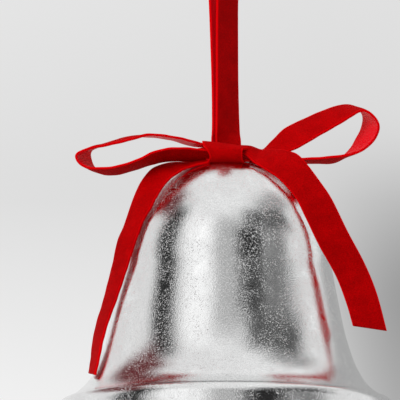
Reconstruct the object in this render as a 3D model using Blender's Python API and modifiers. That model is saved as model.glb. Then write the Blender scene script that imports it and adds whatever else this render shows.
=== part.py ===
"""A hanging bell ornament: a spun steel bell, its crown loop and clapper, and a velvet ribbon bow.

Everything is in metres with +Z up.  The origin is the hang point, where a hook carries the fold at
the top of the hanger ribbon.  Most pieces are laid out from the crown of the bell, in millimetres.
"""
import math

import bmesh
import bpy
from mathutils import Matrix, Vector

MM = 0.001

# Driving dimensions, in millimetres.
HANG_DROP = 80.0            # hang point down to the top of the crown
AXIS_LEAN = 1.3             # the bell's axis hangs this far to the right of the hook
SHELL_WALL = 1.2
DOME_RADIUS = 42.0          # where the dome turns into the waist
DOME_HEIGHT = 43.0
DOME_FULLNESS = 2.15        # 2 would be a plain ellipse
WAIST_SLOPE = 0.19          # how far the waist spreads for each millimetre down
FLARE_TOP = 60.0            # depth below the crown where the flare begins
RIDGE_DEPTH = 95.5          # depth of the ridge between flare and lip
FLARE_SWEEP = 6.0
FLARE_KICK = 5.5
LIP_DEPTH = 105.5           # depth of the flat rim
LIP_RADIUS = 67.0
SHELL_STEPS = 64

LOOP_TURN = math.radians(25.0)      # the crown loop stands turned about the bell's axis
LOOP_HALF_WIDTH = 10.0
LOOP_WIRE = 1.2                     # radius
LOOP_CORNER = 3.0
BAR_HEIGHT = 6.5                    # the loop's bar above the crown
LEG_END = -10.5

PLATE_TOP = -4.8
PLATE_THICK = 1.5
PLATE_LENGTH = 27.0
PLATE_WIDTH = 9.0

EYE_WIRE = 0.9
EYE_RADIUS = 3.0
EYE_CENTRE = -10.9
LINK_WIRE = 0.8
LINK_HALF_WIDTH = 3.2
LINK_LENGTH = 12.0          # between the centres of its two end wires
CHAIN_PLAY = 0.3
BALL_RADIUS = 9.0
BALL_DEPTH = 86.0
ROD_RADIUS = 1.1

RIBBON_WIDTH = 12.7
RIBBON_THICK = 1.0
KNOT_LENGTH = 14.9
KNOT_RADIUS = 4.0
KNOT_CENTRE = (-0.55, -11.4, 3.2)

# Where the ribbon runs, chosen by hand from the crown: its front edge and its rear edge.
LOOP_LEFT = (
    ((-8.9, -14.5, 4.0), (-8.9, -7.5, 4.2)),
    ((-14.5, -15.5, 5.5), (-14.5, -5.0, 6.1)),
    ((-22.0, -15.5, 7.7), (-22.0, -3.0, 8.8)),
    ((-30.5, -15.0, 8.5), (-30.5, -2.5, 10.0)),
    ((-38.5, -15.0, 6.4), (-38.5, -2.5, 9.8)),
    ((-47.0, -14.5, 4.5), (-47.0, -2.0, 7.4)),
    ((-54.2, -14.0, 3.2), (-52.3, -2.0, 5.5)),
    ((-58.8, -13.5, 1.4), (-54.0, -2.0, 3.9)),
    ((-59.4, -13.0, -0.6), (-54.1, -2.0, 1.5)),
    ((-57.4, -13.0, -3.2), (-52.7, -1.5, -2.1)),
    ((-52.6, -13.0, -4.5), (-49.7, -1.0, -4.6)),
    ((-44.0, -13.0, -4.0), (-43.7, -1.0, -5.0)),
    ((-35.0, -13.5, -1.4), (-34.5, -1.5, -2.0)),
    ((-27.0, -14.0, 1.9), (-26.2, -2.2, 0.2)),
    ((-19.0, -14.5, 2.9), (-18.5, -3.5, 1.2)),
    ((-8.9, -14.5, 2.4), (-8.9, -7.5, 1.0)),
)
LOOP_RIGHT = (
    ((9.0, -9.8, 2.8), (9.0, -4.5, 3.4)),
    ((16.6, -8.8, 2.0), (14.3, -2.2, 4.4)),
    ((23.3, -9.4, 2.5), (18.3, -1.0, 8.3)),
    ((29.0, -10.0, 4.6), (23.6, -1.0, 13.5)),
    ((36.5, -9.5, 9.1), (31.6, 0.0, 17.7)),
    ((43.7, -10.0, 13.2), (39.3, 0.2, 21.1)),
    ((49.3, -11.0, 16.5), (46.3, 0.5, 23.3)),
    ((53.1, -11.3, 18.8), (51.0, 1.0, 23.0)),
    ((56.5, -11.3, 18.5), (54.2, 1.0, 21.0)),
    ((59.6, -10.8, 15.8), (55.1, 0.8, 17.9)),
    ((60.8, -10.5, 12.2), (54.3, 0.1, 13.9)),
    ((59.4, -10.4, 8.3), (52.2, -0.1, 9.6)),
    ((55.8, -10.8, 4.3), (50.0, 0.3, 5.8)),
    ((50.4, -11.0, 1.7), (46.8, 0.8, 2.4)),
    ((43.3, -11.5, 0.5), (42.8, 1.0, 0.2)),
    ((34.1, -11.5, -0.3), (34.4, 1.0, 0.1)),
    ((21.3, -9.6, -0.2), (21.5, -1.0, 0.0)),
    ((9.0, -9.8, 0.8), (9.0, -4.5, 0.5)),
)
TAIL_LEFT = (
    ((-8.9, -13.4, -1.3), (-8.9, -7.5, -0.3)),
    ((-15.3, -14.4, -2.4), (-16.9, -6.0, 0.0)),
    ((-20.8, -16.0, -5.3), (-25.3, -7.0, -1.4)),
    ((-25.1, -18.5, -9.6), (-32.0, -9.0, -5.8)),
    ((-28.2, -21.5, -15.7), (-36.0, -11.6, -11.9)),
    ((-31.2, -24.3, -22.9), (-38.8, -14.2, -18.5)),
    ((-35.2, -24.2, -32.5), (-42.2, -13.4, -28.9)),
    ((-38.1, -21.6, -42.6), (-44.2, -10.5, -39.4)),
    ((-41.6, -18.5, -52.5), (-46.8, -7.0, -49.3)),
    ((-45.2, -16.0, -62.1), (-49.6, -4.3, -59.3)),
    ((-48.1, -15.0, -71.5), (-52.1, -3.0, -69.2)),
    ((-50.0, -16.0, -79.9), (-53.5, -4.0, -78.0)),
    ((-52.2, -20.6, -85.4), (-55.4, -8.4, -84.2)),
)
TAIL_RIGHT = (
    ((8.4, -15.3, -0.2), (9.4, -12.0, 2.4)),
    ((10.6, -17.5, -2.8), (14.2, -11.4, 3.0)),
    ((12.9, -19.6, -4.7), (19.7, -12.6, 2.9)),
    ((16.4, -21.3, -7.2), (25.2, -16.2, 1.6)),
    ((21.1, -23.3, -11.0), (29.9, -19.6, -1.8)),
    ((27.0, -25.2, -18.3), (38.1, -23.0, -13.4)),
    ((30.5, -26.2, -25.4), (41.9, -24.4, -19.8)),
    ((36.3, -24.8, -37.4), (47.6, -24.0, -31.6)),
    ((42.9, -21.5, -48.9), (54.2, -22.0, -43.8)),
    ((47.0, -20.5, -59.5), (59.0, -21.5, -55.7)),
    ((49.6, -20.0, -68.6), (62.9, -21.0, -70.7)),
)
STRAP_BACK = ((-11.7, -4.4), (-11.8, -1.0), (-10.0, 4.5), (-4.5, 8.4), (2.0, 9.6), (8.4, 8.8),
              (11.7, 5.6), (12.0, 1.5), (11.7, -1.8))
STRAP_LOW = 1.0
STRAP_HIGH = 4.4

HANGER_WRAP = LOOP_WIRE + 0.45 + RIBBON_THICK / 2   # how far the ribbon stands off the middle of the bar
HANGER_GATHERED = 5.4                               # half width where it is pulled in round the bar
HANGER_TOP_GAP = 2.8
HANGER_TURN = 50.0                                  # degrees, where the ribbon faces at the top
HANGER_FOLD = HANG_DROP - HANGER_TOP_GAP + 0.5      # height where the top fold begins
# One ply from the bar up to the fold: height, stand-off, turn in degrees and half width.
HANGER_PLIES = (
    (BAR_HEIGHT, HANGER_WRAP, math.degrees(LOOP_TURN), HANGER_GATHERED),
    (9.5, 1.5, 33.0, 5.8),
    (14.0, 1.0, 44.0, RIBBON_WIDTH / 2),
    (30.0, 1.1, 48.0, RIBBON_WIDTH / 2),
    (50.0, 1.5, 49.0, RIBBON_WIDTH / 2),
    (66.0, 2.0, HANGER_TURN, RIBBON_WIDTH / 2),
    (HANGER_FOLD, HANGER_TOP_GAP, HANGER_TURN, RIBBON_WIDTH / 2),
)


def clear_scene():
    for obj in list(bpy.data.objects):
        bpy.data.objects.remove(obj, do_unlink=True)


clear_scene()
parts = bpy.data.collections.new("christmas_bell_ornament")
cutters = bpy.data.collections.new("cutters")
bpy.context.scene.collection.children.link(parts)
bpy.context.scene.collection.children.link(cutters)

crown = bpy.data.objects.new("crown_frame", None)
crown.location = (AXIS_LEAN * MM, 0.0, -HANG_DROP * MM)
parts.objects.link(crown)


def material(name, colour, roughness, metallic):
    mat = bpy.data.materials.new(name)
    mat.use_nodes = True
    shader = mat.node_tree.nodes["Principled BSDF"]
    shader.inputs["Base Color"].default_value = (*colour, 1.0)
    shader.inputs["Roughness"].default_value = roughness
    shader.inputs["Metallic"].default_value = metallic
    return mat


SILVER = material("silvered_steel", (0.72, 0.72, 0.73), 0.28, 1.0)
WIRE = material("nickel_plated_wire", (0.60, 0.60, 0.62), 0.30, 1.0)
ZINC = material("zinc_plated_steel", (0.48, 0.50, 0.52), 0.40, 1.0)
VELVET = material("red_velvet", (0.52, 0.0, 0.01), 0.85, 0.0)


def finish(obj, mat, smooth_angle=35.0):
    """Hang an object on the crown's frame, give it its finish and smooth its round faces."""
    obj.parent = crown
    obj.data.materials.clear()
    obj.data.materials.append(mat)
    if obj.type == "MESH":
        obj.data.shade_smooth()
        obj.data.set_sharp_from_angle(angle=math.radians(smooth_angle))
    return obj


def mesh_object(name, bm, mat, location=(0.0, 0.0, 0.0), rotation=(0.0, 0.0, 0.0)):
    """Scale a bmesh from millimetres, and stand it where it belongs below the crown's frame."""
    bmesh.ops.scale(bm, vec=(MM, MM, MM), verts=bm.verts)
    mesh = bpy.data.meshes.new(name)
    bm.to_mesh(mesh)
    bm.free()
    obj = bpy.data.objects.new(name, mesh)
    obj.location = Vector(location) * MM
    obj.rotation_euler = rotation
    parts.objects.link(obj)
    return finish(obj, mat)


def cylinder(radius, low, high, segments=24, centre=(0.0, 0.0)):
    bm = bmesh.new()
    middle = Matrix.Translation((centre[0], centre[1], (low + high) / 2))
    bmesh.ops.create_cone(bm, cap_ends=True, segments=segments, radius1=radius, radius2=radius,
                          depth=high - low, matrix=middle)
    return bm


def cut(obj, bm, name, location=(0.0, 0.0, 0.0), rotation=(0.0, 0.0, 0.0)):
    """Take a cutter's shape out of an object."""
    tool = mesh_object(name, bm, ZINC, location, rotation)
    parts.objects.unlink(tool)
    cutters.objects.link(tool)
    tool.hide_render = True
    tool.display_type = "WIRE"
    tool.parent = obj.parent
    hole = obj.modifiers.new(name, "BOOLEAN")
    hole.operation = "DIFFERENCE"
    hole.object = tool


def shell_radius(depth):
    """The bell's outer radius at a depth below the crown: dome, then waist, then flare."""
    fall = min(depth / DOME_HEIGHT, 1.0)
    dome = DOME_RADIUS * (1.0 - (1.0 - fall) ** DOME_FULLNESS) ** (1.0 / DOME_FULLNESS)
    waist = WAIST_SLOPE * max(depth - DOME_HEIGHT, 0.0)
    flare = max(depth - FLARE_TOP, 0.0) / (RIDGE_DEPTH - FLARE_TOP)
    return dome + waist + FLARE_SWEEP * flare ** 2.5 + FLARE_KICK * flare ** 9


def crown_depth(radius):
    """How far the dome has fallen below the crown at a radius."""
    return DOME_HEIGHT * (1.0 - (1.0 - (radius / DOME_RADIUS) ** DOME_FULLNESS) ** (1.0 / DOME_FULLNESS))


def leg_place(side):
    """Where a leg of the crown loop stands, in plan."""
    return Vector((side * LOOP_HALF_WIDTH * math.cos(LOOP_TURN),
                   side * LOOP_HALF_WIDTH * math.sin(LOOP_TURN)))


def bell_profile():
    """The outer side from the crown down to the rim, as (radius, height)."""
    points = [(0.0, 0.0)]
    points += [(radius, -crown_depth(radius)) for radius in (7.0, 14.0, 21.0, 27.0, 32.0, 36.0, 39.0)]
    points += [(shell_radius(depth), -depth) for depth in (36.0, 46.0, 56.0, 64.0, 71.0, 77.0, 82.0, 86.0)]
    points += [(shell_radius(depth), -depth) for depth in (89.0, 91.5, 93.5, RIDGE_DEPTH)]
    lip_drop = LIP_DEPTH - RIDGE_DEPTH
    ridge = points[-1][0]
    for turn in (35.0, 65.0):
        angle = math.radians(turn)
        points.append((ridge + (LIP_RADIUS - ridge) * math.sin(angle),
                       -RIDGE_DEPTH - 0.5 * lip_drop * (1.0 - math.cos(angle))))
    points += [(LIP_RADIUS, -RIDGE_DEPTH - 0.6 * lip_drop), (LIP_RADIUS, -LIP_DEPTH)]
    return points


def make_shell():
    """The bell itself: a profile spun about the axis and given its wall inwards."""
    bm = bmesh.new()
    verts = [bm.verts.new((radius, 0.0, height)) for radius, height in bell_profile()]
    for upper, lower in zip(verts, verts[1:]):
        bm.edges.new((upper, lower))
    shell = mesh_object("bell_shell", bm, SILVER)
    spin = shell.modifiers.new("spin", "SCREW")
    spin.axis = "Z"
    spin.steps = SHELL_STEPS
    spin.render_steps = SHELL_STEPS
    spin.use_merge_vertices = True
    spin.merge_threshold = 0.00005
    spin.use_smooth_shade = True
    wall = shell.modifiers.new("wall", "SOLIDIFY")
    wall.thickness = SHELL_WALL * MM
    wall.offset = -1.0
    for side, label in ((-1, "left"), (1, "right")):
        place = leg_place(side)
        cut(shell, cylinder(LOOP_WIRE + 0.4, -8.0, 4.0, 16, place), "leg_hole_" + label)


def tube(name, points, radius, mat, closed=False, origin=(0.0, 0.0, 0.0), rotation=(0.0, 0.0, 0.0)):
    """A round wire through points given from its own origin."""
    curve = bpy.data.curves.new(name, "CURVE")
    curve.dimensions = "3D"
    curve.bevel_depth = radius * MM
    curve.bevel_resolution = 2
    curve.use_fill_caps = not closed
    spline = curve.splines.new("POLY")
    spline.points.add(len(points) - 1)
    spline.use_cyclic_u = closed
    spline.use_smooth = True
    for point, place in zip(spline.points, points):
        point.co = (*(Vector(place) * MM), 1.0)
    obj = bpy.data.objects.new(name, curve)
    obj.location = Vector(origin) * MM
    obj.rotation_euler = rotation
    parts.objects.link(obj)
    return finish(obj, mat)


def arc(centre, radius, start, end, count):
    """Points of an arc in the XZ plane, angles in degrees from +X towards +Z."""
    places = []
    for index in range(count + 1):
        angle = math.radians(start + (end - start) * index / count)
        places.append((centre[0] + radius * math.cos(angle), 0.0, centre[1] + radius * math.sin(angle)))
    return places


def make_crown_loop():
    """A bent wire staple: a level bar and two legs that pass down through the crown."""
    corner = LOOP_HALF_WIDTH - LOOP_CORNER
    top = BAR_HEIGHT - LOOP_CORNER
    points = [(LOOP_HALF_WIDTH, 0.0, LEG_END)]
    points += arc((corner, top), LOOP_CORNER, 0.0, 90.0, 5)
    points += arc((-corner, top), LOOP_CORNER, 90.0, 180.0, 5)
    points += [(-LOOP_HALF_WIDTH, 0.0, LEG_END)]
    tube("crown_loop", points, LOOP_WIRE, WIRE, rotation=(0.0, 0.0, LOOP_TURN))


def make_leg_hardware():
    """An outer washer and an inner nut for each leg of the crown loop."""
    for side, label in ((-1, "left"), (1, "right")):
        place = leg_place(side)
        slope = math.atan2(crown_depth(LOOP_HALF_WIDTH + 1.0) - crown_depth(LOOP_HALF_WIDTH - 1.0), 2.0)
        height = 0.8 - crown_depth(LOOP_HALF_WIDTH)
        turn = (0.0, slope, LOOP_TURN + (math.pi if side < 0 else 0.0))
        washer = mesh_object("leg_washer_" + label, cylinder(2.6, -0.3, 0.3, 24), ZINC,
                             (place.x, place.y, height), turn)
        cut(washer, cylinder(LOOP_WIRE + 0.35, -2.0, 2.0, 16), "washer_hole_" + label,
            (place.x, place.y, height))
        low = PLATE_TOP - PLATE_THICK - 2.6
        nut = mesh_object("leg_nut_" + label, cylinder(2.9, low, low + 2.3, 6), ZINC,
                          (place.x, place.y, 0.0))
        cut(nut, cylinder(LOOP_WIRE + 0.3, low - 1.0, low + 4.0, 16), "nut_hole_" + label,
            (place.x, place.y, 0.0))


def make_backing_plate():
    """A flat strip under the crown that both legs and the clapper's eye pass through."""
    bm = bmesh.new()
    bmesh.ops.create_cube(bm, size=1.0)
    bmesh.ops.scale(bm, vec=(PLATE_LENGTH, PLATE_WIDTH, PLATE_THICK), verts=bm.verts)
    upright = [edge for edge in bm.edges if abs(edge.verts[0].co.z - edge.verts[1].co.z) > 0.5]
    bmesh.ops.bevel(bm, geom=upright, offset=3.0, offset_type="OFFSET", segments=4, profile=0.5,
                    affect="EDGES", material=-1)
    plate = mesh_object("backing_plate", bm, ZINC, (0.0, 0.0, PLATE_TOP - PLATE_THICK / 2),
                        (0.0, 0.0, LOOP_TURN))
    for side, label in ((-1, "left"), (1, "right")):
        cut(plate, cylinder(LOOP_WIRE + 0.35, -12.0, 0.0, 16, leg_place(side)), "plate_hole_" + label)
    cut(plate, cylinder(ROD_RADIUS + 0.35, -12.0, 0.0, 16), "plate_hole_middle")


def torus(radius, wire, segments=24, sides=10):
    """A ring of round wire standing in the XZ plane."""
    bm = bmesh.new()
    start = bmesh.ops.create_circle(bm, segments=sides, radius=wire, cap_ends=False)["verts"]
    bmesh.ops.translate(bm, verts=start, vec=(radius, 0.0, 0.0))
    bmesh.ops.spin(bm, geom=bm.verts[:] + bm.edges[:], cent=(0.0, 0.0, 0.0), axis=(0.0, 1.0, 0.0),
                   dvec=(0.0, 0.0, 0.0), angle=2.0 * math.pi, steps=segments, use_merge=True)
    bmesh.ops.recalc_face_normals(bm, faces=bm.faces)
    return bm


def eye_and_shank(name, radius, origin, shank_low, shank_high):
    """A wire eye with a straight shank joined to it, heights given from the middle of the eye."""
    eye = mesh_object(name, torus(radius, EYE_WIRE), WIRE, origin)
    shank = mesh_object(name + "_shank", cylinder(ROD_RADIUS, shank_low, shank_high, 16), WIRE, origin)
    parts.objects.unlink(shank)
    cutters.objects.link(shank)
    shank.hide_render = True
    shank.display_type = "WIRE"
    join = eye.modifiers.new("shank", "BOOLEAN")
    join.operation = "UNION"
    join.object = shank
    return eye


def make_clapper():
    """The clapper's eye bolt and nut, its link, and the rod with its ball held by two nuts."""
    eye_and_shank("clapper_eye", EYE_RADIUS, (0.0, 0.0, EYE_CENTRE), EYE_RADIUS - 0.3, 9.3)
    nut = mesh_object("clapper_eye_nut", cylinder(2.7, PLATE_TOP + 0.3, PLATE_TOP + 2.2, 6), ZINC)
    cut(nut, cylinder(ROD_RADIUS + 0.3, -9.0, 1.0, 16), "eye_nut_hole")

    reach = EYE_WIRE + LINK_WIRE + CHAIN_PLAY
    pivot = EYE_CENTRE - EYE_RADIUS                 # the eye's lowest wire, where the link swings
    straight = LINK_LENGTH - 2.0 * LINK_HALF_WIDTH
    points = arc((0.0, reach - LINK_HALF_WIDTH), LINK_HALF_WIDTH, 0.0, 180.0, 8)
    points += arc((0.0, reach - LINK_HALF_WIDTH - straight), LINK_HALF_WIDTH, 180.0, 360.0, 8)
    turned = [(0.0, x, z) for x, _, z in points]
    tube("clapper_link", turned, LINK_WIRE, WIRE, closed=True, origin=(0.0, 0.0, pivot))

    swing = pivot + reach - LINK_LENGTH             # the link's lowest wire, where the rod swings
    eye_middle = swing + reach - EYE_RADIUS
    ball_middle = -BALL_DEPTH
    foot = ball_middle - BALL_RADIUS - 3.2
    eye_and_shank("clapper_rod", EYE_RADIUS, (0.0, 0.0, eye_middle), foot - eye_middle,
                  -EYE_RADIUS + 0.3)

    bm = bmesh.new()
    bmesh.ops.create_uvsphere(bm, u_segments=24, v_segments=16, radius=BALL_RADIUS)
    ball = mesh_object("clapper_ball", bm, SILVER, (0.0, 0.0, ball_middle))
    cut(ball, cylinder(ROD_RADIUS + 0.3, -12.0, 12.0, 16), "ball_hole", (0.0, 0.0, ball_middle))
    for label, gap in (("upper", BALL_RADIUS + 0.3), ("lower", -BALL_RADIUS - 2.3)):
        low = ball_middle + gap
        nut = mesh_object("clapper_nut_" + label, cylinder(2.7, low, low + 2.0, 6), ZINC)
        cut(nut, cylinder(ROD_RADIUS + 0.3, low - 1.0, low + 3.0, 16), "clapper_nut_hole_" + label)


def smooth_route(places, steps):
    """Points along a smooth curve through every one of the given places."""
    route = []
    last = len(places) - 1
    for index in range(last):
        before, here = places[max(index - 1, 0)], places[index]
        after, beyond = places[index + 1], places[min(index + 2, last)]
        for step in range(steps):
            t = step / steps
            route.append(0.5 * (2.0 * here + (after - before) * t
                                + (2.0 * before - 5.0 * here + 4.0 * after - beyond) * t ** 2
                                + (3.0 * here - before - 3.0 * after + beyond) * t ** 3))
    route.append(places[last])
    return route


def ribbon(name, stations, steps=2, closed=False, thick=RIBBON_THICK):
    """A strip drawn out from its first pair of edge points through all the others."""
    fronts = smooth_route([Vector(front) for front, _ in stations], steps)
    rears = smooth_route([Vector(rear) for _, rear in stations], steps)
    if closed:
        fronts, rears = fronts[:-1], rears[:-1]
    bm = bmesh.new()
    row = [bm.verts.new(fronts[0]), bm.verts.new((fronts[0] + rears[0]) / 2), bm.verts.new(rears[0])]
    edges = [bm.edges.new(row[0:2]), bm.edges.new(row[1:3])]
    first, first_edges = row, edges
    for front, rear in zip(fronts[1:], rears[1:]):
        grown = bmesh.ops.extrude_edge_only(bm, edges=edges)["geom"]
        edges = [part for part in grown if isinstance(part, bmesh.types.BMEdge)
                 and not any(vert in row for vert in part.verts)]
        fresh = [part for part in grown if isinstance(part, bmesh.types.BMVert)]
        fresh.sort(key=lambda vert: min(range(3), key=lambda i: (vert.co - row[i].co).length))
        for vert, place in zip(fresh, (front, (front + rear) / 2, rear)):
            vert.co = place
        row = fresh
    if closed:
        bmesh.ops.bridge_loops(bm, edges=edges + first_edges)
    bmesh.ops.recalc_face_normals(bm, faces=bm.faces)
    obj = mesh_object(name, bm, VELVET)
    wall = obj.modifiers.new("thickness", "SOLIDIFY")
    wall.thickness = thick * MM
    wall.offset = 0.0
    wall.use_even_offset = True
    return obj


def hanger_lean(height):
    """How far the hanger has leant back towards the hook at a height above the crown."""
    return -AXIS_LEAN * max(height - BAR_HEIGHT, 0.0) / (HANG_DROP - BAR_HEIGHT)


def hanger_station(height, gap, turn, half):
    """Both edges of one ply of the hanger: its height, how far it stands off, and how it is turned."""
    angle = math.radians(turn)
    along = Vector((math.cos(angle), math.sin(angle), 0.0)) * half
    off = Vector((math.sin(angle), -math.cos(angle), 0.0)) * gap
    middle = Vector((hanger_lean(height), 0.0, height)) + off
    return middle - along, middle + along


def make_hanger():
    """One endless strip: round the crown loop's bar, up both plies and over at the top."""
    stations = [hanger_station(*ply) for ply in HANGER_PLIES]
    for swing in (45.0, 90.0, 135.0):
        angle = math.radians(swing)
        stations.append(hanger_station(HANGER_FOLD + HANGER_TOP_GAP * math.sin(angle),
                                       HANGER_TOP_GAP * math.cos(angle), HANGER_TURN, RIBBON_WIDTH / 2))
    stations += [hanger_station(height, -gap, turn, half)
                 for height, gap, turn, half in reversed(HANGER_PLIES)]
    for swing in (225.0, 270.0, 315.0):
        angle = math.radians(swing)
        stations.append(hanger_station(BAR_HEIGHT + HANGER_WRAP * math.sin(angle),
                                       HANGER_WRAP * math.cos(angle), math.degrees(LOOP_TURN),
                                       HANGER_GATHERED))
    stations.append(stations[0])
    ribbon("hanger_ribbon", stations, steps=2, closed=True)


def make_bow():
    """The bow: a barrel of wound ribbon, two loops, two tails and the strap round the back."""
    bm = bmesh.new()
    bmesh.ops.create_cone(bm, cap_ends=True, segments=20, radius1=KNOT_RADIUS, radius2=KNOT_RADIUS,
                          depth=KNOT_LENGTH, matrix=Matrix.Rotation(math.pi / 2, 4, "Y"))
    rims = [edge for edge in bm.edges if abs(edge.verts[0].co.x - edge.verts[1].co.x) < 0.01]
    bmesh.ops.bevel(bm, geom=rims, offset=0.8, offset_type="OFFSET", segments=2, profile=0.5,
                    affect="EDGES", material=-1)
    mesh_object("bow_knot", bm, VELVET, KNOT_CENTRE)
    ribbon("bow_loop_left", LOOP_LEFT)
    ribbon("bow_loop_right", LOOP_RIGHT)
    ribbon("bow_tail_left", TAIL_LEFT)
    ribbon("bow_tail_right", TAIL_RIGHT)
    ribbon("bow_back_strap", [((x, y, STRAP_LOW), (x, y, STRAP_HIGH)) for x, y in STRAP_BACK], steps=3)


make_shell()
make_crown_loop()
make_leg_hardware()
make_backing_plate()
make_clapper()
make_hanger()
make_bow()
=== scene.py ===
# %% [markdown]
# A hanging bell ornament: a silvered steel bell under a red velvet bow.  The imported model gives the
# places and the moving pieces.  This script makes what the eye meets: a finely turned bell with a
# mottled silver-leaf finish, and ribbon with a velvet face and a satin back.

# %% Load the frame
import math

import bmesh
import bpy
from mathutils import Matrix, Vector


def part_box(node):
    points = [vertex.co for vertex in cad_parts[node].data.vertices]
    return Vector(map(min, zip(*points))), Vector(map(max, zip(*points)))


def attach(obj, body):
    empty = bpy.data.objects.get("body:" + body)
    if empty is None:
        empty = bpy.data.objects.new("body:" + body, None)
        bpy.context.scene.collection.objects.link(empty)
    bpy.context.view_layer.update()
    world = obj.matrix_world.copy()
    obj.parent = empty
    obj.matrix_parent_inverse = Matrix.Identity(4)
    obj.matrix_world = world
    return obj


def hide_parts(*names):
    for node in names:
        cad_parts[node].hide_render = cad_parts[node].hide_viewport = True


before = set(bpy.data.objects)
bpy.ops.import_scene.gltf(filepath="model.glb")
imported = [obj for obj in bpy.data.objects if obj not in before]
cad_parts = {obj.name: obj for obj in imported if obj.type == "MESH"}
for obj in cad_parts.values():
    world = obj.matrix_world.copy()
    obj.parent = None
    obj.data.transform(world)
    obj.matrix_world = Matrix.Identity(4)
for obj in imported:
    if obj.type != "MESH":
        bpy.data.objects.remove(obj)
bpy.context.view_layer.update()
MM = 0.001
shell_low, shell_high = (Vector(corner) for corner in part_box("bell_shell"))
CROWN = Vector(((shell_low.x + shell_high.x) / 2, (shell_low.y + shell_high.y) / 2, shell_high.z))
print("crown of the bell at", tuple(round(value, 4) for value in CROWN))


# %% [markdown]
# A material is a tree of nodes.  One function adds any node, sets its inputs or links them to other nodes,
# and gives the node back.  Colours are written as sRGB hex, the way a colour picker shows them, and turned
# to linear light by one other function.

# %% Node and colour helpers
def linear(hex_colour):
    """An sRGB hex colour as linear red, green, blue and alpha."""
    channels = [int(hex_colour[i:i + 2], 16) / 255.0 for i in (1, 3, 5)]
    values = [c / 12.92 if c <= 0.04045 else ((c + 0.055) / 1.055) ** 2.4 for c in channels]
    return (*values, 1.0)


def add(tree, kind, inputs=None, stops=(), **attributes):
    """One node.  An input takes a number, a colour, a node (its first output) or an output."""
    node = tree.nodes.new(kind)
    for name, value in attributes.items():
        setattr(node, name, value)
    for socket, value in (inputs or {}).items():
        if isinstance(value, bpy.types.Node):
            value = value.outputs[0]
        if isinstance(value, bpy.types.NodeSocket):
            tree.links.new(value, node.inputs[socket])
        else:
            node.inputs[socket].default_value = value
    for number, (position, colour) in enumerate(stops):
        if number == len(node.color_ramp.elements):
            node.color_ramp.elements.new(position)
        node.color_ramp.elements[number].position = position
        node.color_ramp.elements[number].color = linear(colour)
    return node


def new_material(name, colour, roughness, metallic=0.0):
    """A material with a Principled shader, and its tree for what follows."""
    mat = bpy.data.materials.new(name)
    mat.use_nodes = True
    shader = mat.node_tree.nodes["Principled BSDF"]
    shader.inputs["Base Color"].default_value = linear(colour)
    shader.inputs["Roughness"].default_value = roughness
    shader.inputs["Metallic"].default_value = metallic
    return mat, mat.node_tree, shader


def drive(tree, shader, **wanted):
    """Link patterns to the shader: base_color=, roughness= or normal= take a node's first output."""
    for name, node in wanted.items():
        tree.links.new(node.outputs[0], shader.inputs[name.replace("_", " ").title()])


# %% [markdown]
# Silver leaf over steel.  Beaten leaf is laid in scraps over a varnish, so the surface is a bright mirror
# broken by a fine crinkle.  A painted picture of the crinkle would stay still as the bell swings.  Bump is
# used instead: each crinkle tips the reflection a little, so a dark reflection ends in a band of bright
# grains.  Thin, worn scraps are sparse, rougher and pitted.

# %% Silver leaf
LEAF_GRAIN = 0.5 * MM       # one crinkle, drawn coarser than the real 0.2 mm so that it shows
LEAF_SCRAP = 9.0 * MM       # one scrap of leaf
LEAF_FOLD = 2.6 * MM        # the soft folds between scraps
CRINKLE_DEPTH, FACET_DEPTH = 0.08 * MM, 0.06 * MM
FOLD_DEPTH, PIT_DEPTH = 0.12 * MM, 0.12 * MM


def silver_leaf():
    mat, tree, shader = new_material("silver_leaf_on_spun_steel", "#e6e7e8", 0.2, 1.0)
    place = add(tree, "ShaderNodeTexCoord").outputs["Object"]
    grain = add(tree, "ShaderNodeTexVoronoi", {"Vector": place, "Scale": 1.0 / LEAF_GRAIN})
    fine = add(tree, "ShaderNodeTexNoise", {"Vector": place, "Scale": 1.0 / LEAF_GRAIN, "Detail": 4.0,
                                            "Roughness": 0.75})
    fold = add(tree, "ShaderNodeTexNoise", {"Vector": place, "Scale": 1.0 / LEAF_FOLD, "Detail": 6.0,
                                            "Roughness": 0.75})
    scrap = add(tree, "ShaderNodeTexNoise", {"Vector": place, "Scale": 1.0 / LEAF_SCRAP, "Detail": 4.0,
                                             "Roughness": 0.6})
    flecks = add(tree, "ShaderNodeMapRange", {"Value": fine, "From Min": 0.57, "From Max": 0.68})
    patches = add(tree, "ShaderNodeMapRange", {"Value": scrap, "From Min": 0.38, "From Max": 0.62})
    worn = add(tree, "ShaderNodeMath", {0: flecks, 1: patches}, operation="MULTIPLY")
    tone = add(tree, "ShaderNodeValToRGB", {"Fac": fine}, stops=[(0.36, "#d9dada"), (0.62, "#f9f9f9")])
    gloss = add(tree, "ShaderNodeMapRange", {"Value": worn, "To Min": 0.10, "To Max": 0.50})
    crinkles = add(tree, "ShaderNodeBump", {"Height": fine, "Strength": 0.23, "Distance": CRINKLE_DEPTH})
    facets = add(tree, "ShaderNodeBump", {"Height": grain, "Normal": crinkles, "Strength": 0.40,
                                          "Distance": FACET_DEPTH})
    folds = add(tree, "ShaderNodeBump", {"Height": fold, "Normal": facets, "Strength": 0.20,
                                         "Distance": FOLD_DEPTH})
    pits = add(tree, "ShaderNodeBump", {"Height": worn, "Normal": folds, "Strength": 0.7,
                                        "Distance": PIT_DEPTH})
    drive(tree, shader, base_color=tone, roughness=gloss, normal=pits)
    return mat


SILVER = silver_leaf()
print("silver leaf nodes:", len(SILVER.node_tree.nodes))


# %% [markdown]
# The inside of the bell is bare spun steel under a thin lacquer: duller, and ringed with the fine marks
# of the roller that pressed the sheet over its form.  The rings are level bands, because the bell's axis
# is upright.

# %% Bare spun steel
SPIN_MARK = 0.8 * MM
STEEL_CLOUD = 11.0 * MM     # patches where the lacquer lies thicker
WAVE_STEP = math.pi / 10.0  # metres from band to band in a wave texture of scale 1


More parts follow.
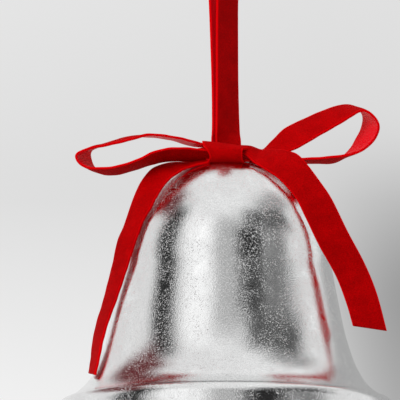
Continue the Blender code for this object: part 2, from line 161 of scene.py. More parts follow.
def spun_steel():
    mat, tree, shader = new_material("bare_spun_steel", "#9a9a98", 0.38, 1.0)
    place = add(tree, "ShaderNodeTexCoord").outputs["Object"]
    rings = add(tree, "ShaderNodeTexWave", {"Vector": place, "Scale": WAVE_STEP / SPIN_MARK,
                                            "Distortion": 0.6, "Detail": 2.0},
                wave_type="BANDS", bands_direction="Z")
    cloud = add(tree, "ShaderNodeTexNoise", {"Vector": place, "Scale": 1.0 / STEEL_CLOUD, "Detail": 5.0})
    tone = add(tree, "ShaderNodeValToRGB", {"Fac": cloud}, stops=[(0.3, "#8a8a88"), (0.7, "#a6a6a3")])
    gloss = add(tree, "ShaderNodeMapRange", {"Value": cloud, "To Min": 0.3, "To Max": 0.5})
    marks = add(tree, "ShaderNodeBump", {"Height": rings.outputs["Fac"], "Strength": 0.25,
                                         "Distance": 0.05 * MM})
    drive(tree, shader, base_color=tone, roughness=gloss, normal=marks)
    return mat


STEEL = spun_steel()
print("spun steel ready")


# %% [markdown]
# Plated fittings.  The loop, eye, link and rod are nickel-plated wire, warm and bright.  The plate, nuts
# and washers are zinc plated, bluish and satin, with a faint crystal bloom.  All are one plated metal with
# different tones, gloss and size of bloom.

# %% Plated fittings
def plated(name, light, dark, low, high, bloom):
    """A plated metal between two tones and two roughnesses, with a bloom of a given size."""
    mat, tree, shader = new_material(name, light, low, 1.0)
    place = add(tree, "ShaderNodeTexCoord").outputs["Object"]
    cloud = add(tree, "ShaderNodeTexNoise", {"Vector": place, "Scale": 1.0 / bloom, "Detail": 4.0,
                                             "Roughness": 0.6})
    tone = add(tree, "ShaderNodeValToRGB", {"Fac": cloud}, stops=[(0.3, dark), (0.65, light)])
    gloss = add(tree, "ShaderNodeMapRange", {"Value": cloud, "To Min": low, "To Max": high})
    skin = add(tree, "ShaderNodeBump", {"Height": cloud, "Strength": 0.2, "Distance": 0.02 * MM})
    drive(tree, shader, base_color=tone, roughness=gloss, normal=skin)
    return mat


NICKEL = plated("nickel_plated_wire", "#d2cec6", "#b6b1a8", 0.12, 0.28, 3.0 * MM)
ZINC = plated("zinc_plated_steel", "#b4b9bf", "#8f959c", 0.28, 0.5, 1.2 * MM)
BALL = plated("polished_steel_ball", "#c6c7c9", "#a8aaad", 0.12, 0.3, 4.0 * MM)
print("plated finishes:", NICKEL.name, ZINC.name, BALL.name)


# %% [markdown]
# Velvet is a short dense pile that stands on the ground cloth.  Seen straight on it drinks light and looks
# deep red.  Seen across, the tips of the pile catch light, which sheen gives.  The pile leans one way or
# the other in soft patches.  Along both edges a brighter red is painted in as a highlight, where the
# edges catch the light.  The edges are found from the ribbon's own UV map, whose first axis runs across
# it in metres.

# %% Velvet
RIBBON_WIDTH = 12.7         # half an inch, in millimetres
PILE = 0.35 * MM            # tufts, drawn coarser than the real 0.2 mm so that they show
NAP = 6.0 * MM              # patches where the pile leans together
EDGE_HIGHLIGHT = 0.7              # width of the painted highlight along each edge, in millimetres


def velvet():
    mat, tree, shader = new_material("red_velvet_pile", "#c80003", 0.8)
    shader.inputs["Specular IOR Level"].default_value = 0.03
    shader.inputs["Sheen Weight"].default_value = 0.30
    shader.inputs["Sheen Roughness"].default_value = 0.30
    shader.inputs["Sheen Tint"].default_value = linear("#ff0003")
    place = add(tree, "ShaderNodeTexCoord").outputs["Object"]
    nap = add(tree, "ShaderNodeTexNoise", {"Vector": place, "Scale": 1.0 / NAP, "Detail": 3.0,
                                           "Roughness": 0.5})
    pile = add(tree, "ShaderNodeTexNoise", {"Vector": place, "Scale": 1.0 / PILE, "Detail": 2.0,
                                            "Roughness": 0.6})
    tone = add(tree, "ShaderNodeValToRGB", {"Fac": nap}, stops=[(0.3, "#bc0003"), (0.7, "#d00004")])
    speck = add(tree, "ShaderNodeValToRGB", {"Fac": pile}, stops=[(0.3, "#bcbcbc"), (0.7, "#ffffff")])
    cloth = add(tree, "ShaderNodeMix", {0: 1.0, 6: tone, 7: speck}, data_type="RGBA", blend_type="MULTIPLY")
    along = add(tree, "ShaderNodeUVMap", uv_map="ribbon")
    across = add(tree, "ShaderNodeSeparateXYZ", {0: along})
    offset = add(tree, "ShaderNodeMath", {0: across, 1: RIBBON_WIDTH * MM / 2}, operation="SUBTRACT")
    reach = add(tree, "ShaderNodeMath", {0: offset}, operation="ABSOLUTE")
    # painted highlight: a brighter red along both edges, where they catch the light
    edge = add(tree, "ShaderNodeMapRange", {"Value": reach, "From Min": (RIBBON_WIDTH / 2 - EDGE_HIGHLIGHT) * MM,
                                            "From Max": RIBBON_WIDTH / 2 * MM})
    edge_highlighted = add(tree, "ShaderNodeMix", {0: edge, 6: cloth.outputs[2], 7: linear("#e00006")},
                data_type="RGBA")
    tree.links.new(edge_highlighted.outputs[2], shader.inputs["Base Color"])
    tufts = add(tree, "ShaderNodeBump", {"Height": pile, "Strength": 0.35, "Distance": 0.12 * MM})
    lean = add(tree, "ShaderNodeBump", {"Height": nap, "Normal": tufts, "Strength": 0.2,
                                        "Distance": 0.4 * MM})
    drive(tree, shader, normal=lean)
    return mat


VELVET = velvet()
print("velvet nodes:", len(VELVET.node_tree.nodes))


# %% [markdown]
# The back of the ribbon is plain satin: smooth red threads that run across it and shine along their length.
# A wave texture on the UV map draws the threads, so they turn with the ribbon.

# %% Satin back
RIB = 0.45 * MM             # threads, drawn coarser than the real 0.15 mm so that they show


def satin():
    mat, tree, shader = new_material("red_satin_back", "#e80a1c", 0.45)
    shader.inputs["Specular IOR Level"].default_value = 0.12
    shader.inputs["Sheen Weight"].default_value = 0.10
    shader.inputs["Sheen Tint"].default_value = linear("#ff2030")
    shader.inputs["Anisotropic"].default_value = 0.5
    along = add(tree, "ShaderNodeUVMap", uv_map="ribbon")
    ribs = add(tree, "ShaderNodeTexWave", {"Vector": along, "Scale": WAVE_STEP / RIB,
                                           "Distortion": 0.5, "Detail": 1.0},
               wave_type="BANDS", bands_direction="Y").outputs["Fac"]
    tone = add(tree, "ShaderNodeValToRGB", {"Fac": ribs}, stops=[(0.2, "#de0616"), (0.8, "#f2081e")])
    relief = add(tree, "ShaderNodeBump", {"Height": ribs, "Strength": 0.12, "Distance": 0.05 * MM})
    drive(tree, shader, base_color=tone, normal=relief)
    return mat


SATIN = satin()
print("satin nodes:", len(SATIN.node_tree.nodes))


# %% [markdown]
# The bell is spun from sheet, so one side view turned about the axis makes it.  The outer side is a dome,
# a waist and a flare that sweep into a ridge, and an upright lip with a rolled edge.  A smooth formula
# gives a truer mirror than a few points and a subdivision, which would ripple the reflections.  The same
# line set in by the sheet's thickness is the inside.

# %% Bell profile
DOME_RADIUS, DOME_HEIGHT, DOME_FULLNESS = 42.0, 43.0, 2.15
WAIST_SLOPE, FLARE_TOP, FLARE_SWEEP, FLARE_KICK = 0.19, 60.0, 6.0, 5.5
RIDGE_DEPTH, LIP_DEPTH, LIP_RADIUS = 95.5, 105.5, 67.0
WALL = 1.2
DOME_STEPS, DOME_STEP = 27, 1.5             # rings over the dome, and how far apart
FLANK_STEPS, FLANK_CROWDING = 56, 0.8       # rings down the flank, closer together where it starts
SHOULDER_TURN = 6                           # degrees from ring to ring over the ridge
OUTER_ROLL = ((0.0, 3.0), (0.0, 0.6), (0.2, 0.2), (0.6, 0.0))   # how far in and how far up, at the edge
INNER_ROLL = ((1.2, 0.0), (1.4, 0.2))
ROLL_POINTS, ROLL_HEIGHT = 3, 0.5           # what the roll takes the place of, on the inside


def shell_radius(depth):
    """The bell's outer radius at a depth below the crown: dome, then waist, then flare."""
    fall = min(depth / DOME_HEIGHT, 1.0)
    dome = DOME_RADIUS * (1.0 - (1.0 - fall) ** DOME_FULLNESS) ** (1.0 / DOME_FULLNESS)
    waist = WAIST_SLOPE * max(depth - DOME_HEIGHT, 0.0)
    flare = max(depth - FLARE_TOP, 0.0) / (RIDGE_DEPTH - FLARE_TOP)
    return dome + waist + FLARE_SWEEP * flare ** 2.5 + FLARE_KICK * flare ** 9


def crown_depth(radius):
    """How far the dome has dropped at a radius."""
    return DOME_HEIGHT * (1.0 - (1.0 - (radius / DOME_RADIUS) ** DOME_FULLNESS) ** (1.0 / DOME_FULLNESS))


def outer_line():
    """The outer side from the crown to the rim, as (radius, height) in millimetres."""
    dome = [(radius, -crown_depth(radius)) for radius in [DOME_STEP * step for step in range(DOME_STEPS)]]
    start = -dome[-1][1]
    depths = [start + (RIDGE_DEPTH - start) * (step / FLANK_STEPS) ** FLANK_CROWDING
              for step in range(1, FLANK_STEPS + 1)]
    flank = [(shell_radius(depth), -depth) for depth in depths]
    ridge = flank[-1][0]
    reach, drop = LIP_RADIUS - ridge, 0.5 * (LIP_DEPTH - RIDGE_DEPTH)
    shoulder = [(ridge + reach * math.sin(math.radians(turn)),
                 -RIDGE_DEPTH - drop * (1.0 - math.cos(math.radians(turn))))
                for turn in range(SHOULDER_TURN, 91, SHOULDER_TURN)]
    lip = [(LIP_RADIUS - inset, -LIP_DEPTH + rise) for inset, rise in OUTER_ROLL]
    return dome + flank + shoulder + lip


def inner_line(outer):
    """The same line moved in by the wall, from the rim back up to the crown."""
    inner = []
    for index, (radius, height) in enumerate(outer):
        before, after = outer[max(index - 1, 0)], outer[min(index + 1, len(outer) - 1)]
        run = Vector((after[0] - before[0], after[1] - before[1])).normalized()
        inner.append((max(radius + run.y * WALL, 0.0), height - run.x * WALL))
    inner[0] = (0.0, -WALL)
    wall = [point for point in inner[:-ROLL_POINTS] if point[1] > -LIP_DEPTH + ROLL_HEIGHT]
    rolled = [(LIP_RADIUS - inset, -LIP_DEPTH + rise) for inset, rise in INNER_ROLL]
    return rolled + wall[::-1]


print("bell wall:", len(outer_line()), "points outside and", len(inner_line(outer_line())), "inside")


# %% [markdown]
# One full spin of that line makes both sides of the wall at once, closed at the crown and at the rim.  The
# faces that look inwards take the bare steel, and the rest take the leaf.

# %% Spin the bell
SPIN_STEPS = 160
SEAM = 0.01                 # points closer than this are one, in millimetres
ROUND = math.radians(40.0)  # edges flatter than this are smooth
CROWN_CEILING = -20.0       # above this, faces that look down are the underside of the crown


def placed(bm):
    """Bring a bmesh in millimetres below the crown to its place in metres."""
    bmesh.ops.scale(bm, vec=(MM, MM, MM), verts=bm.verts)
    bmesh.ops.translate(bm, vec=CROWN, verts=bm.verts)


def finished(name, bm, materials, smooth=ROUND):
    """An object at the origin from a bmesh, smooth where it is round."""
    mesh = bpy.data.meshes.new(name)
    bm.to_mesh(mesh)
    bm.free()
    for mat in materials:
        mesh.materials.append(mat)
    mesh.shade_smooth()
    if smooth:
        mesh.set_sharp_from_angle(angle=smooth)
    obj = bpy.data.objects.new(name, mesh)
    bpy.context.scene.collection.objects.link(obj)
    return obj


def make_bell():
    """The bell's wall, riding on the body of the bell."""
    outer = outer_line()
    inner = inner_line(outer)
    bm = bmesh.new()
    verts = [bm.verts.new((radius, 0.0, height)) for radius, height in outer + inner]
    for upper, lower in zip(verts, verts[1:]):
        bm.edges.new((upper, lower))
    bmesh.ops.spin(bm, geom=bm.verts[:] + bm.edges[:], cent=(0, 0, 0), axis=(0, 0, 1), dvec=(0, 0, 0),
                   angle=2.0 * math.pi, steps=SPIN_STEPS, use_merge=True)
    bmesh.ops.remove_doubles(bm, verts=bm.verts, dist=SEAM)
    bmesh.ops.recalc_face_normals(bm, faces=bm.faces)
    for face in bm.faces:
        middle = face.calc_center_median()
        facing = face.normal.x * middle.x + face.normal.y * middle.y
        wall_inside = facing < 0.0 and middle.z > -LIP_DEPTH + ROLL_HEIGHT
        crown_inside = face.normal.z < -0.5 and middle.z > CROWN_CEILING
        face.material_index = 1 if wall_inside or crown_inside else 0
    placed(bm)
    bell = finished("bell", bm, [SILVER, STEEL])
    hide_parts("bell_shell")
    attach(bell, "bell")
    print("bell faces", len(bell.data.polygons))


make_bell()

# %% [markdown]
# Ribbon runs.  A ribbon is a flat strip that can bend and twist but not stretch.  A cloth simulation would
# drape it, but not where this bow lies, so each run is drawn through pairs of points, its front edge and its
# rear edge, read along a smooth curve.  A grid laid flat is carried onto that run.  Its middle is raised a
# little, because the pile rounds the strip, and faint ripples keep it from looking stiff.

# %% Ribbon strips
RIBBON_THICK = 1.0          # cloth and pile together, in millimetres
ACROSS = 12                 # faces across the strip
PLEATS = 1.5                # gathered cloth bends this many full waves across the strip
RIPPLE_RATE, RIPPLE_START, RIPPLE_TILT = 0.9, 2.0, 0.4     # radians to the millimetre, and two offsets
EDGE_ROUND, EDGE_STEPS = 0.32, 3        # how far the edges are rounded, and in how many steps


def smooth_route(places, steps):
    """Points along a smooth curve through every one of the given places."""
    route = []
    last = len(places) - 1
    for index in range(last):
        before, here = places[max(index - 1, 0)], places[index]
        after, beyond = places[index + 1], places[min(index + 2, last)]
        for step in range(steps):
            t = step / steps
            route.append(0.5 * (2.0 * here + (after - before) * t
                                + (2.0 * before - 5.0 * here + 4.0 * after - beyond) * t ** 2
                                + (3.0 * here - before - 3.0 * after + beyond) * t ** 3))
    route.append(places[last])
    return route


def thicken(strip, thick):
    """Give a strip its thickness, with velvet on the rim and satin behind, and soften its edges."""
    wall = strip.modifiers.new("thickness", "SOLIDIFY")
    wall.thickness = thick * MM
    wall.offset = 0.0
    wall.use_even_offset = True
    wall.material_offset = 1
    wall.material_offset_rim = 0
    edge = strip.modifiers.new("soft_edge", "BEVEL")
    edge.width = EDGE_ROUND * MM
    edge.segments = EDGE_STEPS
    edge.limit_method = "ANGLE"
    edge.angle_limit = math.radians(60.0)


def row_lengths(fronts, rears):
    """How far along the strip's middle each row of the grid lies."""
    middles = [(front + rear) / 2 for front, rear in zip(fronts, rears)]
    lengths = [0.0]
    for before, after in zip(middles, middles[1:]):
        lengths.append(lengths[-1] + (after - before).length)
    return lengths


def run_at(row, fronts, rears, closed):
    """The way the strip runs at a row, from the rows on either side of it."""
    last = len(fronts) - 1
    ahead, behind = min(row + 1, last), max(row - 1, 0)
    if closed:
        ahead, behind = (row + 1) % last, (row - 1) % last
    return fronts[ahead] + rears[ahead] - fronts[behind] - rears[behind]


def ribbon(name, stations, velvet_out=1, steps=8, crown=0.25, closed=False, thick=RIBBON_THICK, ripple=0.12,
           gather=0.0):
    """A strip through pairs of edge points in millimetres, and its length in metres.

    velvet_out is 1 or -1, for the side that the velvet faces.  crown, ripple and gather are the heights of
    the raised middle, of the faint ripples and of the pleats.
    """
    fronts = smooth_route([Vector(front) for front, _ in stations], steps)
    rears = smooth_route([Vector(rear) for _, rear in stations], steps)
    lengths = row_lengths(fronts, rears)
    last = len(fronts) - 1
    bm = bmesh.new()
    uv = bm.loops.layers.uv.new("ribbon")
    bmesh.ops.create_grid(bm, x_segments=ACROSS, y_segments=last, size=0.5)
    spots = {vert: (vert.co.x + 0.5, round((vert.co.y + 0.5) * last)) for vert in bm.verts}
    for vert, (across, row) in spots.items():
        front, rear = fronts[row], rears[row]
        normal = run_at(row, fronts, rears, closed).cross(rear - front).normalized()
        wave = math.sin(RIPPLE_RATE * lengths[row] + RIPPLE_START)
        swell = crown * (1.0 - (2.0 * across - 1.0) ** 2)
        swell += ripple * wave * math.sin(math.pi * across + RIPPLE_TILT)
        swell += gather * math.sin(2.0 * math.pi * PLEATS * across)
        vert.co = front.lerp(rear, across) + normal * swell * velvet_out
    for face in bm.faces:
        for loop in face.loops:
            across, row = spots[loop.vert]
            loop[uv].uv = (across * RIBBON_WIDTH * MM, lengths[row] * MM)
    sample = bm.faces[:][0]
    row = spots[sample.verts[0]][1]
    velvet_side = run_at(row, fronts, rears, closed).cross(rears[row] - fronts[row]) * velvet_out
    if closed:
        bmesh.ops.remove_doubles(bm, verts=bm.verts, dist=SEAM)
    bm.normal_update()
    if bm.faces[:][0].normal.dot(velvet_side) < 0.0:
        bmesh.ops.reverse_faces(bm, faces=bm.faces[:])
    placed(bm)
    strip = finished(name, bm, [VELVET, SATIN], smooth=None)
    thicken(strip, thick)
    print(name, "length %.0f mm" % lengths[-1])
    return strip, lengths[-1] * MM


# %% [markdown]
# The bow.  A real bow is one length of ribbon, folded and tied.  Here each loop and tail is its own strip, as
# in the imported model, and runs on into the knot, where the ends are hidden.  Velvet faces out all round a
# loop, so the satin back shows only inside the turns.  Each row below is a front and a rear edge point, in
# millimetres from the crown.

# %% Bow loops and tails
LOOP_LEFT = (
    ((-4.6, -15.0, 4.6), (-4.6, -11.5, 4.6)),
    ((-9.3, -16.5, 4.5), (-9.3, -11.0, 4.6)),
    ((-14.5, -19.0, 5.6), (-14.5, -9.5, 5.4)),
    ((-22.0, -21.0, 6.8), (-22.0, -9.5, 7.7)),
    ((-30.5, -22.0, 7.4), (-30.5, -10.0, 8.8)),
    ((-38.5, -22.5, 5.2), (-38.5, -10.5, 8.5)),
    ((-47.0, -22.0, 3.3), (-47.0, -10.0, 6.1)),
    ((-54.2, -21.5, 2.0), (-52.3, -10.0, 4.2)),
    ((-58.8, -21.0, 0.2), (-54.0, -10.0, 2.6)),
    ((-59.4, -20.5, -1.8), (-54.1, -10.0, 0.2)),
    ((-57.4, -20.5, -4.4), (-52.7, -9.5, -3.4)),
    ((-52.6, -21.0, -5.8), (-49.7, -9.5, -5.9)),
    ((-44.0, -22.0, -5.4), (-43.7, -10.0, -6.4)),
    ((-35.1, -22.5, -2.7), (-35.3, -11.0, -4.3)),
    ((-29.6, -22.5, 0.1), (-29.7, -11.0, -2.5)),
    ((-23.0, -21.5, 2.0), (-23.1, -11.0, -1.2)),
    ((-15.3, -19.0, 2.6), (-15.3, -10.0, -1.0)),
    ((-9.3, -17.0, 2.3), (-9.3, -10.5, -0.9)),
    ((-5.3, -15.5, 2.0), (-5.3, -11.0, -0.4)),
)
LOOP_RIGHT = (
    ((4.5, -11.5, 3.6), (4.5, -8.5, 4.0)),
    ((9.0, -9.8, 2.8), (9.0, -4.5, 3.4)),
    ((16.6, -8.8, 2.0), (14.3, -2.2, 4.4)),
    ((23.3, -9.4, 2.5), (18.3, -1.0, 8.3)),
    ((29.0, -10.0, 4.6), (23.6, -1.0, 13.5)),
    ((36.5, -9.5, 9.1), (31.6, 0.0, 17.7)),
    ((43.7, -10.0, 13.2), (39.3, 0.2, 21.1)),
    ((49.3, -11.0, 16.5), (46.3, 0.5, 23.3)),
    ((53.1, -11.3, 18.8), (51.0, 1.0, 23.0)),
    ((56.5, -11.3, 18.5), (54.2, 1.0, 21.0)),
    ((59.6, -10.8, 15.8), (55.1, 0.8, 17.9)),
    ((60.8, -10.5, 12.2), (54.3, 0.1, 13.9)),
    ((59.4, -10.4, 8.3), (52.2, -0.1, 9.6)),
    ((55.8, -10.8, 4.3), (50.0, 0.3, 5.8)),
    ((50.4, -11.0, 1.7), (46.8, 0.8, 2.4)),
    ((43.3, -11.5, 0.5), (42.8, 1.0, 0.2)),
    ((34.1, -11.5, -0.3), (34.4, 1.0, 0.1)),
    ((21.3, -9.6, -0.2), (21.5, -1.0, 0.0)),
    ((9.0, -9.8, 0.8), (9.0, -4.5, 0.5)),
    ((4.5, -11.5, 1.8), (4.5, -8.5, 1.8)),
)
TAIL_LEFT = (
    ((-5.3, -15.8, -2.2), (-5.3, -11.0, -0.7)),
    ((-8.5, -16.6, -3.1), (-8.9, -9.0, -0.8)),
    ((-13.7, -17.6, -4.6), (-15.3, -7.5, -1.4)),
    ((-18.4, -19.2, -6.9), (-22.1, -9.0, -1.8)),
    ((-23.5, -21.6, -11.4), (-29.2, -12.2, -4.6)),
    ((-27.5, -25.2, -18.0), (-33.9, -16.6, -11.0)),
    ((-30.0, -25.8, -23.0), (-37.4, -17.2, -19.4)),
    ((-32.5, -25.2, -27.0), (-40.2, -16.3, -27.8)),
    ((-35.3, -24.3, -34.3), (-43.0, -15.1, -34.4)),
    ((-38.1, -21.5, -42.2), (-44.8, -11.6, -42.3)),
    ((-41.1, -18.8, -50.9), (-47.0, -8.4, -50.6)),
    ((-44.1, -15.7, -59.1), (-49.1, -4.8, -58.1)),
    ((-46.9, -13.4, -66.3), (-51.3, -2.1, -64.8)),
    ((-48.9, -13.9, -73.7), (-52.9, -2.4, -72.7)),
    ((-50.2, -17.2, -81.1), (-53.5, -5.9, -80.1)),
    ((-51.5, -22.6, -88.3), (-54.2, -10.8, -86.3)),
)
TAIL_RIGHT = (
    ((4.2, -15.2, 1.2), (4.8, -13.4, 4.4)),
    ((7.4, -16.0, 0.4), (9.6, -13.4, 4.2)),
    ((10.6, -17.5, -2.8), (14.2, -11.4, 3.0)),
    ((12.9, -19.6, -4.7), (19.7, -12.6, 2.9)),
    ((16.4, -21.3, -7.2), (25.2, -16.2, 1.6)),
    ((21.1, -23.3, -11.0), (29.9, -19.6, -1.8)),
    ((27.0, -25.2, -18.3), (38.1, -23.0, -13.4)),
    ((30.5, -26.2, -25.4), (41.9, -24.4, -19.8)),
    ((36.3, -24.8, -37.4), (47.6, -24.0, -31.6)),
    ((42.9, -21.5, -48.9), (54.2, -22.0, -43.8)),
    ((47.0, -20.5, -59.5), (59.0, -21.5, -55.7)),
    ((49.6, -20.0, -68.6), (62.9, -21.0, -70.7)),
)


def dressed(made, node, body):
    """Hide the CAD node that a strip stands for, and attach the strip to its body."""
    piece, length = made
    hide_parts(node)
    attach(piece, body)


dressed(ribbon("loop_left", LOOP_LEFT, velvet_out=-1), "bow_loop_left", "bell")
dressed(ribbon("loop_right", LOOP_RIGHT, velvet_out=1), "bow_loop_right", "bell")
dressed(ribbon("tail_left", TAIL_LEFT, velvet_out=-1), "bow_tail_left", "bell")
dressed(ribbon("tail_right", TAIL_RIGHT, velvet_out=1, crown=0.4), "bow_tail_right", "bell")

# %% [markdown]
# The hanger is one length of ribbon passed under the crown loop's bar and carried up in two plies that
# open a little towards the hook.  It is made as an endless strip, gathered narrow where it wraps the bar.

# %% Hanger ribbon
HANG_DROP = -CROWN.z / MM
AXIS_LEAN = CROWN.x / MM
BAR_HEIGHT, WRAP, TOP_GAP = 6.5, 2.15, 2.8
GATHERED, FULL = 5.4, RIBBON_WIDTH / 2      # half widths at the bar and above it
BAR_TURN, TOP_TURN = 25.0, 50.0             # degrees that the strip is turned to the left


def hanger_station(height, gap, turn, half):
    """Both edges of one ply: its height, how far it stands off, and how far it is turned."""
    angle = math.radians(turn)
    lean = -AXIS_LEAN * max(height - BAR_HEIGHT, 0.0) / (HANG_DROP - BAR_HEIGHT)
    along = Vector((math.cos(angle), math.sin(angle), 0.0)) * half
    off = Vector((math.sin(angle), -math.cos(angle), 0.0)) * gap
    middle = Vector((lean, 0.0, height)) + off
    return middle - along, middle + along


def hanger_stations():
    """Up one ply, over the top fold, down the other ply and round the bar."""
    top = HANG_DROP - TOP_GAP + RIBBON_THICK / 2       # the hang point is on the inside of the fold
    plies = ((BAR_HEIGHT, WRAP, BAR_TURN, GATHERED), (9.5, 1.5, 33.0, 5.8), (14.0, 1.0, 44.0, FULL),
             (30.0, 1.1, 48.0, FULL), (50.0, 1.5, 49.0, FULL), (66.0, 2.0, TOP_TURN, FULL),
             (top, TOP_GAP, TOP_TURN, FULL))
    stations = [hanger_station(*ply) for ply in plies]
    for step in range(1, 6):
        angle = math.radians(30.0 * step)
        stations.append(hanger_station(top + TOP_GAP * math.sin(angle), TOP_GAP * math.cos(angle),
                                       TOP_TURN, FULL))
    stations += [hanger_station(z, -gap, turn, half) for z, gap, turn, half in reversed(plies)]
    for step in range(7, 12):
        angle = math.radians(30.0 * step)
        stations.append(hanger_station(BAR_HEIGHT + WRAP * math.sin(angle), WRAP * math.cos(angle),
                                       BAR_TURN, GATHERED))
    return stations + stations[:1]


dressed(ribbon("hanger", hanger_stations(), velvet_out=-1, steps=6, crown=0.1, closed=True, ripple=0.04),
        "hanger_ribbon", "ribbon")

# %% [markdown]
# The knot is the same ribbon wound once round the crossing of the bow.  It is pulled in at its waist, and
# its upper right edge flares back, so the hollow under it shows.

# %% Knot
KNOT_CENTRE = Vector((0.0, -14.2, 1.8))
KNOT_LONG, KNOT_SHORT = 4.6, 3.4        # half sizes of the oval it is wound to
KNOT_LEAN = math.radians(37.0)          # the oval's long way leans forward, lying on the dome


def wound(turns):
    """Edge pairs of a band wound round the knot: angle from its foot, both ends, the right end's droop."""
    stations = []
    up = Vector((0.0, math.sin(KNOT_LEAN), math.cos(KNOT_LEAN)))
    out = Vector((0.0, -math.cos(KNOT_LEAN), math.sin(KNOT_LEAN)))
    for angle, left, right, droop in turns:
        turn = math.radians(angle)
        spot = KNOT_CENTRE - up * KNOT_LONG * math.cos(turn) + out * KNOT_SHORT * math.sin(turn)
        stations.append((Vector((left, spot.y, spot.z)), Vector((right, spot.y, spot.z - droop))))
    return stations


BAND = ((-60.0, -8.0, 7.2, 0.0), (-30.0, -7.8, 7.0, 0.0), (0.0, -7.0, 6.5, 0.0), (30.0, -6.7, 6.2, 0.0),
        (60.0, -7.7, 6.3, 0.2), (78.0, -8.6, 6.6, 0.8), (95.0, -9.2, 7.4, 1.5), (115.0, -9.6, 9.0, 2.2),
        (140.0, -9.6, 10.2, 3.2), (170.0, -9.4, 10.6, 4.2), (200.0, -9.2, 10.4, 4.2),
        (230.0, -8.8, 9.6, 3.4), (260.0, -8.4, 8.4, 1.5), (290.0, -8.0, 7.4, 0.0))
dressed(ribbon("knot", wound(BAND), velvet_out=-1, crown=0.3), "bow_knot", "bell")

# %% [markdown]
# The ribbon passes behind the crown loop's feet to hold the bow to the bell.  It is gathered into pleats
# there, so the full width of ribbon takes up only a few millimetres.

# %% Back strap
STRAP = ((-7.0, -8.2), (-10.2, -7.2), (-12.0, -4.4), (-11.9, -1.0), (-10.0, 4.5), (-4.5, 8.4), (2.0, 9.6),
         (8.4, 8.8), (11.7, 5.6), (12.0, 1.5), (11.7, -1.8), (10.2, -5.0), (7.0, -8.4))
STRAP_FOOT, STRAP_TOP, STRAP_PLEAT, STRAP_THIN = -0.4, 4.6, 1.5, 0.36
strap = [((x, y, STRAP_FOOT), (x, y, STRAP_TOP)) for x, y in STRAP]
dressed(ribbon("back_strap", strap, velvet_out=-1, crown=0.0, thick=STRAP_THIN, ripple=0.0,
               gather=STRAP_PLEAT), "bow_back_strap", "bell")

# %% [markdown]
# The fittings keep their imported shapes, because they are small and already true to the real ones.  Only
# their finish changes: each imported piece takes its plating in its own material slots.

# %% Fittings
FITTINGS = {
    "crown_loop": NICKEL, "clapper_eye": NICKEL, "clapper_link": NICKEL, "clapper_rod": NICKEL,
    "clapper_ball": BALL, "backing_plate": ZINC, "leg_nut_left": ZINC, "leg_nut_right": ZINC,
    "leg_washer_left": ZINC, "leg_washer_right": ZINC, "clapper_eye_nut": ZINC,
    "clapper_nut_upper": ZINC, "clapper_nut_lower": ZINC,
}
for node, finish in FITTINGS.items():
    for material_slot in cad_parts[node].material_slots:
        material_slot.material = finish
print("fittings finished:", len(FITTINGS))

# %% [markdown]
# The room.  A mirror shows the room round it, so the world is drawn as one: pale walls and ceiling, with
# soft-edged dark openings that make the dark upright bands on the bell, one bright screen that makes the
# light streak, and a dark red patch high on the left, a painted reflection that stands in for the bow's
# red reflection in the dome.  Modelled panels would do the same, but they would stand in other views.
# Each opening is a window between two bearings and two heights, in degrees: bearing 0 is in front of the
# bow, and positive bearings are to its right.

# %% Room directions
world = bpy.data.worlds.new("studio_room")
bpy.context.scene.world = world
world.use_nodes = True
room = world.node_tree
room.nodes.clear()
DEGREES = 180.0 / math.pi
outward = add(room, "ShaderNodeSeparateXYZ", {0: add(room, "ShaderNodeTexCoord").outputs["Generated"]})
forward = add(room, "ShaderNodeMath", {0: outward.outputs["Y"], 1: -1.0}, operation="MULTIPLY")
turned = add(room, "ShaderNodeMath", {0: outward.outputs["X"], 1: forward}, operation="ARCTAN2")
bearing = add(room, "ShaderNodeMath", {0: turned, 1: DEGREES}, operation="MULTIPLY")
raised = add(room, "ShaderNodeMath", {0: outward.outputs["Z"]}, operation="ARCSINE")
height = add(room, "ShaderNodeMath", {0: raised, 1: DEGREES}, operation="MULTIPLY")


def between(value, low, high, soft):
    """1 between two limits and 0 outside them, with soft edges."""
    rise = add(room, "ShaderNodeMapRange", {"Value": value, "From Min": low - soft, "From Max": low + soft},
               interpolation_type="SMOOTHSTEP")
    fall = add(room, "ShaderNodeMapRange", {"Value": value, "From Min": high - soft, "From Max": high + soft,
                                            "To Min": 1.0, "To Max": 0.0}, interpolation_type="SMOOTHSTEP")
    return add(room, "ShaderNodeMath", {0: rise, 1: fall}, operation="MULTIPLY")


def opening(left, right, floor, ceiling, side_blur, end_blur):
    """1 inside a soft-edged window of the room, 0 elsewhere."""
    return add(room, "ShaderNodeMath", {0: between(bearing, left, right, side_blur),
                                        1: between(height, floor, ceiling, end_blur)}, operation="MULTIPLY")


print("room nodes so far:", len(room.nodes))

# %% Walls, dark openings and screen
WALL_LIGHT, CEILING_LIGHT = 0.86, 0.90
SCREEN, SCREEN_LIGHT = (-46.0, -19.0, -20.0, 44.0), 0.28
DARK_OPENINGS = (           # left, right, floor, ceiling and how dark
    (-84.0, -57.0, -20.0, 50.0, 0.97),
    (10.0, 43.0, -20.0, 34.0, 0.97),
    (22.0, 84.0, 26.0, 50.0, 0.88),
    (43.0, 70.0, -20.0, 36.0, 0.72),
    (50.0, 105.0, 42.0, 60.0, 0.58),
    (125.0, 182.0, -20.0, 45.0, 0.50),
    (-12.0, 16.0, -20.0, 42.0, 0.42),
)
darkness = None
for *window, depth in DARK_OPENINGS:
    dark = add(room, "ShaderNodeMath", {0: opening(*window, 5.5, 6.0), 1: depth}, operation="MULTIPLY")
    if darkness is not None:
        dark = add(room, "ShaderNodeMath", {0: darkness, 1: dark}, operation="MAXIMUM")
    darkness = dark
walls = add(room, "ShaderNodeMapRange", {"Value": height, "From Min": 20.0, "From Max": 75.0,
                                         "To Min": WALL_LIGHT, "To Max": CEILING_LIGHT})
screen = add(room, "ShaderNodeMath", {0: opening(*SCREEN, 7.0, 8.0), 1: SCREEN_LIGHT},
             operation="MULTIPLY")
lit = add(room, "ShaderNodeMath", {0: walls, 1: screen}, operation="ADD")
